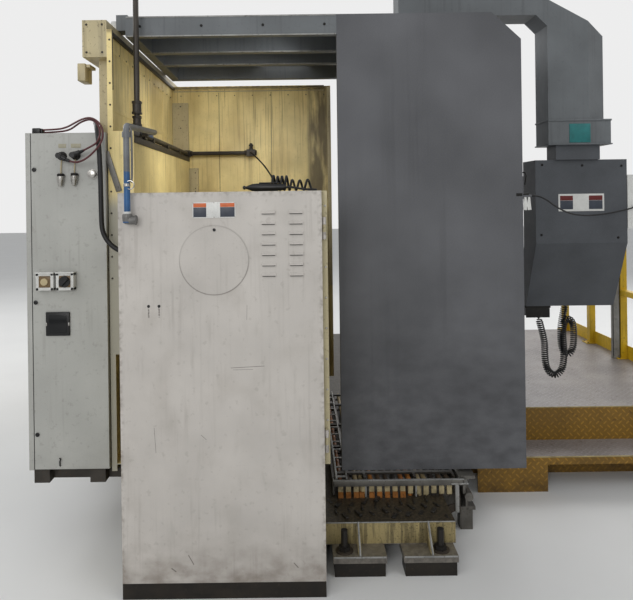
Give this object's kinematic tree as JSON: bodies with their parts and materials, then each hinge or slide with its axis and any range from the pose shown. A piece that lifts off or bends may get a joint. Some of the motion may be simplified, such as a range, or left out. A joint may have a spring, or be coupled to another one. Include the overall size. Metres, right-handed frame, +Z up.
{
  "type": "flat bed cnc lathe",
  "caption": "Flat bed lathe with sliding hood, chuck, turret carriage, tailstock, electric cabinet, swivel pendant, tall guards and an operator platform.",
  "frame": {"origin": "on the floor under the middle of the machine's bounding box", "axes": "+X from the headstock's end cover to the tailstock, +Y to the rear (cabinet side), +Z up"},
  "size_m": [4.309, 3.7, 2.76],
  "materials": {
    "cream_paint": "satin",
    "white_paint": "satin",
    "grey_paint": "satin",
    "black_paint": "satin",
    "hood_paint": "satin",
    "yellow_paint": "satin",
    "safety_yellow": "satin",
    "blue_paint": "satin",
    "dark_iron": "matte",
    "bright_steel": "satin",
    "tread_steel": "matte",
    "black_rubber": "matte",
    "black_plastic": "matte",
    "white_plastic": "matte",
    "beige_plastic": "matte",
    "orange_plastic": "matte",
    "red_plastic": "gloss",
    "window_glass": "clear"
  },
  "bodies": {
    "machine": {"bed": "cream_paint", "levelling_feet": "dark_iron", "plinth": "black_paint", "cover_housing": "cream_paint", "end_cover": "white_paint", "round_cover_plate": "white_paint", "headstock_case": "cream_paint", "spindle_bearings": "bright_steel", "drive_motor": "grey_paint", "drive_belt": "black_rubber", "rear_guard": "yellow_paint", "cross_guard": "yellow_paint", "corner_covers": "yellow_paint", "rear_rail": "cream_paint", "front_rail": "dark_iron", "cable_carrier": "dark_iron", "carrier_cables": "black_rubber", "cable_clamps": "orange_plastic", "cabinet_body": "white_paint", "cabinet_base": "cream_paint", "cabinet_end_panel": "white_paint", "cabinet_fittings": "black_plastic", "platform": "tread_steel", "railing": "safety_yellow", "air_pipe": "dark_iron", "leg_pipe": "blue_paint", "air_hose": "black_rubber", "hose_coil": "black_rubber", "blow_gun": "black_plastic", "cabinet_leads": "black_rubber", "black_hose": "black_rubber"},
    "spindle": {"spindle": "bright_steel", "chuck_body": "bright_steel"},
    "jaw_1": {"chuck_jaw_1": "bright_steel"},
    "jaw_2": {"chuck_jaw_2": "bright_steel"},
    "jaw_3": {"chuck_jaw_3": "bright_steel"},
    "motor_rotor": {"motor_pulley": "dark_iron"},
    "feed_screw": {"ball_screw": "bright_steel"},
    "carriage": {"carriage": "cream_paint"},
    "cross_slide": {"cross_slide": "cream_paint"},
    "turret": {"turret_head": "bright_steel"},
    "tailstock": {"tailstock": "cream_paint"},
    "quill": {"quill": "bright_steel"},
    "centre": {"live_centre": "bright_steel"},
    "main_switch": {"main_switch": "black_plastic"},
    "start_button": {"start_button": "beige_plastic"},
    "hood": {"hood_end_panel": "hood_paint", "hood_frame": "hood_paint", "hood_front": "hood_paint", "boom": "hood_paint", "pendant_cord": "black_rubber"},
    "hood_door": {"hood_door": "hood_paint", "hood_window": "window_glass"},
    "pendant": {"pendant_case": "hood_paint", "pendant_face": "black_plastic", "side_box": "white_plastic", "handset": "black_plastic", "curly_cord": "black_rubber"},
    "e_stop": {"e_stop": "red_plastic"},
    "valve": {"valve_handle": "dark_iron"}
  },
  "joints": [
    {"name": "spindle_spin", "type": "hinge", "parent": "machine", "child": "spindle", "pos_m": [-0.0142, 0.946, 1.362], "axis": [1, 0, 0], "continuous": true},
    {"name": "jaw_1_slide", "type": "slide", "parent": "spindle", "child": "jaw_1", "axis": [0, 0, 1], "range_m": [-0.012, 0.01]},
    {"name": "jaw_2_slide", "type": "slide", "parent": "spindle", "child": "jaw_2", "axis": [0, -0.866, -0.5], "range_m": [-0.012, 0.01]},
    {"name": "jaw_3_slide", "type": "slide", "parent": "spindle", "child": "jaw_3", "axis": [0, 0.866, -0.5], "range_m": [-0.012, 0.01]},
    {"name": "motor_spin", "type": "hinge", "parent": "machine", "child": "motor_rotor", "pos_m": [-1.9665, 0.946, 0.59], "axis": [1, 0, 0], "continuous": true},
    {"name": "carriage_slide", "type": "slide", "parent": "machine", "child": "carriage", "axis": [1, 0, 0], "range_m": [-0.34, 0.3]},
    {"name": "screw_spin", "type": "hinge", "parent": "machine", "child": "feed_screw", "pos_m": [-0.1665, 0.466, 0.65], "axis": [1, 0, 0], "continuous": true},
    {"name": "cross_slide_travel", "type": "slide", "parent": "carriage", "child": "cross_slide", "axis": [0, 1, 0], "range_m": [0, 0.2]},
    {"name": "turret_index", "type": "hinge", "parent": "cross_slide", "child": "turret", "pos_m": [0.5835, 0.646, 1.362], "axis": [1, 0, 0], "continuous": true},
    {"name": "tailstock_slide", "type": "slide", "parent": "machine", "child": "tailstock", "axis": [1, 0, 0], "range_m": [0, 0.2]},
    {"name": "quill_slide", "type": "slide", "parent": "tailstock", "child": "quill", "axis": [1, 0, 0], "range_m": [-0.12, 0]},
    {"name": "centre_spin", "type": "hinge", "parent": "quill", "child": "centre", "pos_m": [1.3535, 0.946, 1.362], "axis": [1, 0, 0], "continuous": true},
    {"name": "main_switch_turn", "type": "hinge", "parent": "machine", "child": "main_switch", "pos_m": [-1.7805, 1.6645, 1.245], "axis": [1, 0, 0], "range_deg": [0, 90]},
    {"name": "start_button_push", "type": "slide", "parent": "machine", "child": "start_button", "axis": [1, 0, 0], "range_m": [0, 0.006], "stiffness_N_per_m": 600},
    {"name": "hood_slide", "type": "slide", "parent": "machine", "child": "hood", "axis": [1, 0, 0], "range_m": [0, 1.3]},
    {"name": "hood_door_slide", "type": "slide", "parent": "hood", "child": "hood_door", "axis": [1, 0, 0], "range_m": [-0.48, 0]},
    {"name": "pendant_swivel", "type": "hinge", "parent": "hood", "child": "pendant", "pos_m": [-1.1065, -0.932, 1.883], "axis": [0, 0, 1], "range_deg": [-90, 30], "deforming": ["pendant_cord"]},
    {"name": "e_stop_push", "type": "slide", "parent": "pendant", "child": "e_stop", "axis": [-1, 0, 0], "range_m": [0, 0.005]},
    {"name": "valve_turn", "type": "hinge", "parent": "machine", "child": "valve", "pos_m": [-1.5325, 1.368, 1.93], "axis": [0, 1, 0], "range_deg": [0, 90]}
  ],
  "couplings": [
    {"joint": "jaw_2_slide", "follows": "jaw_1_slide", "ratio": 1},
    {"joint": "jaw_3_slide", "follows": "jaw_1_slide", "ratio": 1},
    {"joint": "motor_spin", "follows": "spindle_spin", "ratio": 1.7895},
    {"joint": "screw_spin", "follows": "carriage_slide", "rad_per_m": -523.6}
  ]
}
